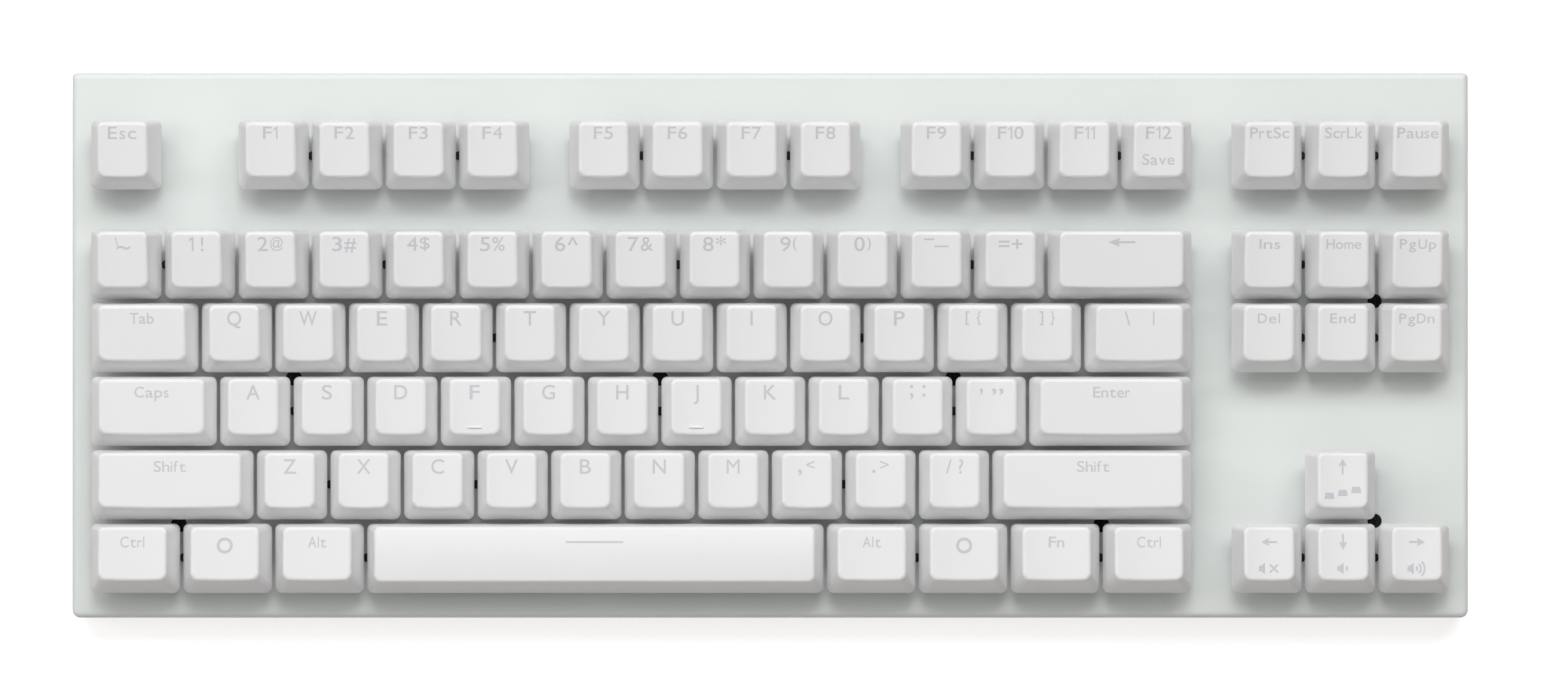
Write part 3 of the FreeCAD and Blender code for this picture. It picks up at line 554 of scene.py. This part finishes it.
FINISHES = {
    "keycap_plastic": finish(
        "cap_plastic", linear(236, 236, 237), 0.42, 5000, 0.006, 0.012),
    "panel_paint": finish(
        "panel_paint", linear(227, 232, 230), 0.5, 2600, 0.008, 0.015, coarse=0.012),
    "case_plastic": finish(
        "case_plastic", linear(232, 234, 234), 0.55, 3500, 0.02, 0.02),
    "switch_plastic": finish("switch_plastic", linear(228, 229, 231), 0.4, 3000, 0.01, 0.02),
    "cover_plastic": finish(
        "cover_plastic", linear(236, 238, 240), 0.25, 2500, 0.006, 0.02,
        Transmission_Weight=0.35, IOR=1.5),
    "board_laminate": finish("board_laminate", linear(22, 70, 48), 0.35, 1800, 0.02, 0.25),
    "foam": finish("foam", linear(52, 52, 56), 0.95, 1600, 0.25, 0.35, coarse=0.3),
    "spring_steel": finish(
        "spring_steel", linear(196, 198, 202), 0.28, 3000, 0.003, 0.05, Metallic=1.0),
    "contact_brass": finish(
        "contact_brass", linear(214, 178, 96), 0.3, 3000, 0.003, 0.06, Metallic=1.0),
    "lamp_resin": finish("lamp_resin", linear(240, 232, 190), 0.2, 3000, 0.004, 0.05),
    "chip_resin": finish("chip_resin", linear(34, 34, 37), 0.55, 5000, 0.01, 0.12),
    "socket_steel": finish(
        "socket_steel", linear(188, 190, 194), 0.3, 2500, 0.004, 0.05,
        stretch=(1.0, 0.06, 1.0), Metallic=1.0),
    "black_fastener": finish(
        "black_fastener", linear(30, 30, 32), 0.38, 2600, 0.006, 0.15, Metallic=0.6),
    "black_plastic": finish("black_plastic", linear(24, 24, 25), 0.45, 3500, 0.008, 0.12),
    "foot_rubber": finish("foot_rubber", linear(58, 58, 60), 0.8, 2200, 0.03, 0.15),
}
LEGEND_FINISH = finish("legend_resin", linear(205, 205, 212), 0.38, 3000, 0.004, 0.02)

for cad_object in frame["nodes"].values():
    for material_slot in cad_object.material_slots:
        material_slot.material = FINISHES[material_slot.material.name]

make_legends(LEGEND_FINISH)


# ---------------------------------------------------------------- floor, light and camera
# The paper glows a little so that it stays white under the keyboard's own shadow, and it
# throws no light back on the caps' front slopes.
FLOOR_SIZE = 6.0
FLOOR_GLOW = 0.55
floor_mesh = bpy.data.meshes.new("floor")
half = FLOOR_SIZE / 2
floor_mesh.from_pydata(
    [(-half, -half, 0), (half, -half, 0), (half, half, 0), (-half, half, 0)],
    [], [(0, 1, 2, 3)])
floor = bpy.data.objects.new("floor", floor_mesh)
bpy.context.scene.collection.objects.link(floor)
floor_mesh.materials.append(finish(
    "floor_paper", (0.93, 0.93, 0.93), 0.9, 900, 0.01, 0.01, cloud=3.0,
    Emission_Color=(1.0, 1.0, 1.0, 1.0), Emission_Strength=FLOOR_GLOW))
floor.visible_diffuse = False

WARM_WHITE = (1.0, 0.96, 0.92, 1.0)
SKY_STRENGTH = 0.23
world = bpy.data.worlds.new("studio")
bpy.context.scene.world = world
world.use_nodes = True
sky = world.node_tree.nodes["Background"]
sky.inputs["Color"].default_value = WARM_WHITE
sky.inputs["Strength"].default_value = SKY_STRENGTH

panel_low, panel_high = outline("top_panel")
panel_centre = (panel_low + panel_high) / 2
panel_centre.z = panel_high.z


LIGHT_DISTANCE = 1.5


def soft_box(name, rear, side, width, depth, power):
    """A soft box that faces the panel's centre from some degrees to the rear and side of
    straight above it."""
    rear, side = math.radians(rear), math.radians(side)
    direction = Vector((
        math.sin(side), math.sin(rear) * math.cos(side), math.cos(rear) * math.cos(side)))
    data = bpy.data.lights.new(name, "AREA")
    data.shape = "RECTANGLE"
    data.size = width
    data.size_y = depth
    data.energy = power
    light = bpy.data.objects.new(name, data)
    light.location = TO_ROW @ (panel_centre + direction * LIGHT_DISTANCE)
    light.rotation_euler = (TO_ROW @ -direction).to_track_quat("-Z", "Y").to_euler()
    bpy.context.scene.collection.objects.link(light)


soft_box("rear_box", 40, 0, 2.2, 0.4, 16.0)
soft_box("key_box", 28, 0, 0.5, 0.4, 4.4)
soft_box("left_box", 10, -45, 0.5, 1.2, 3.4)
soft_box("front_fill", -45, 0, 2.2, 0.4, 3.0)

# A long lens square above the panel. AIM is where it points, off the panel's centre.
SENSOR_WIDTH = 36.0
CAMERA_DISTANCE = 1.555
VIEW_WIDTH = 0.40384
AIM = Vector((1.66 * MM, -0.33 * MM, 0))
camera_data = bpy.data.cameras.new("camera")
camera_data.sensor_width = SENSOR_WIDTH
camera_data.lens = SENSOR_WIDTH * CAMERA_DISTANCE / VIEW_WIDTH
camera = bpy.data.objects.new("camera", camera_data)
camera.location = TO_ROW @ (panel_centre + AIM + Vector((0, 0, CAMERA_DISTANCE)))
camera.rotation_euler = TO_ROW.to_euler()
bpy.context.scene.collection.objects.link(camera)
bpy.context.scene.camera = camera

bpy.context.scene.view_settings.view_transform = "Standard"
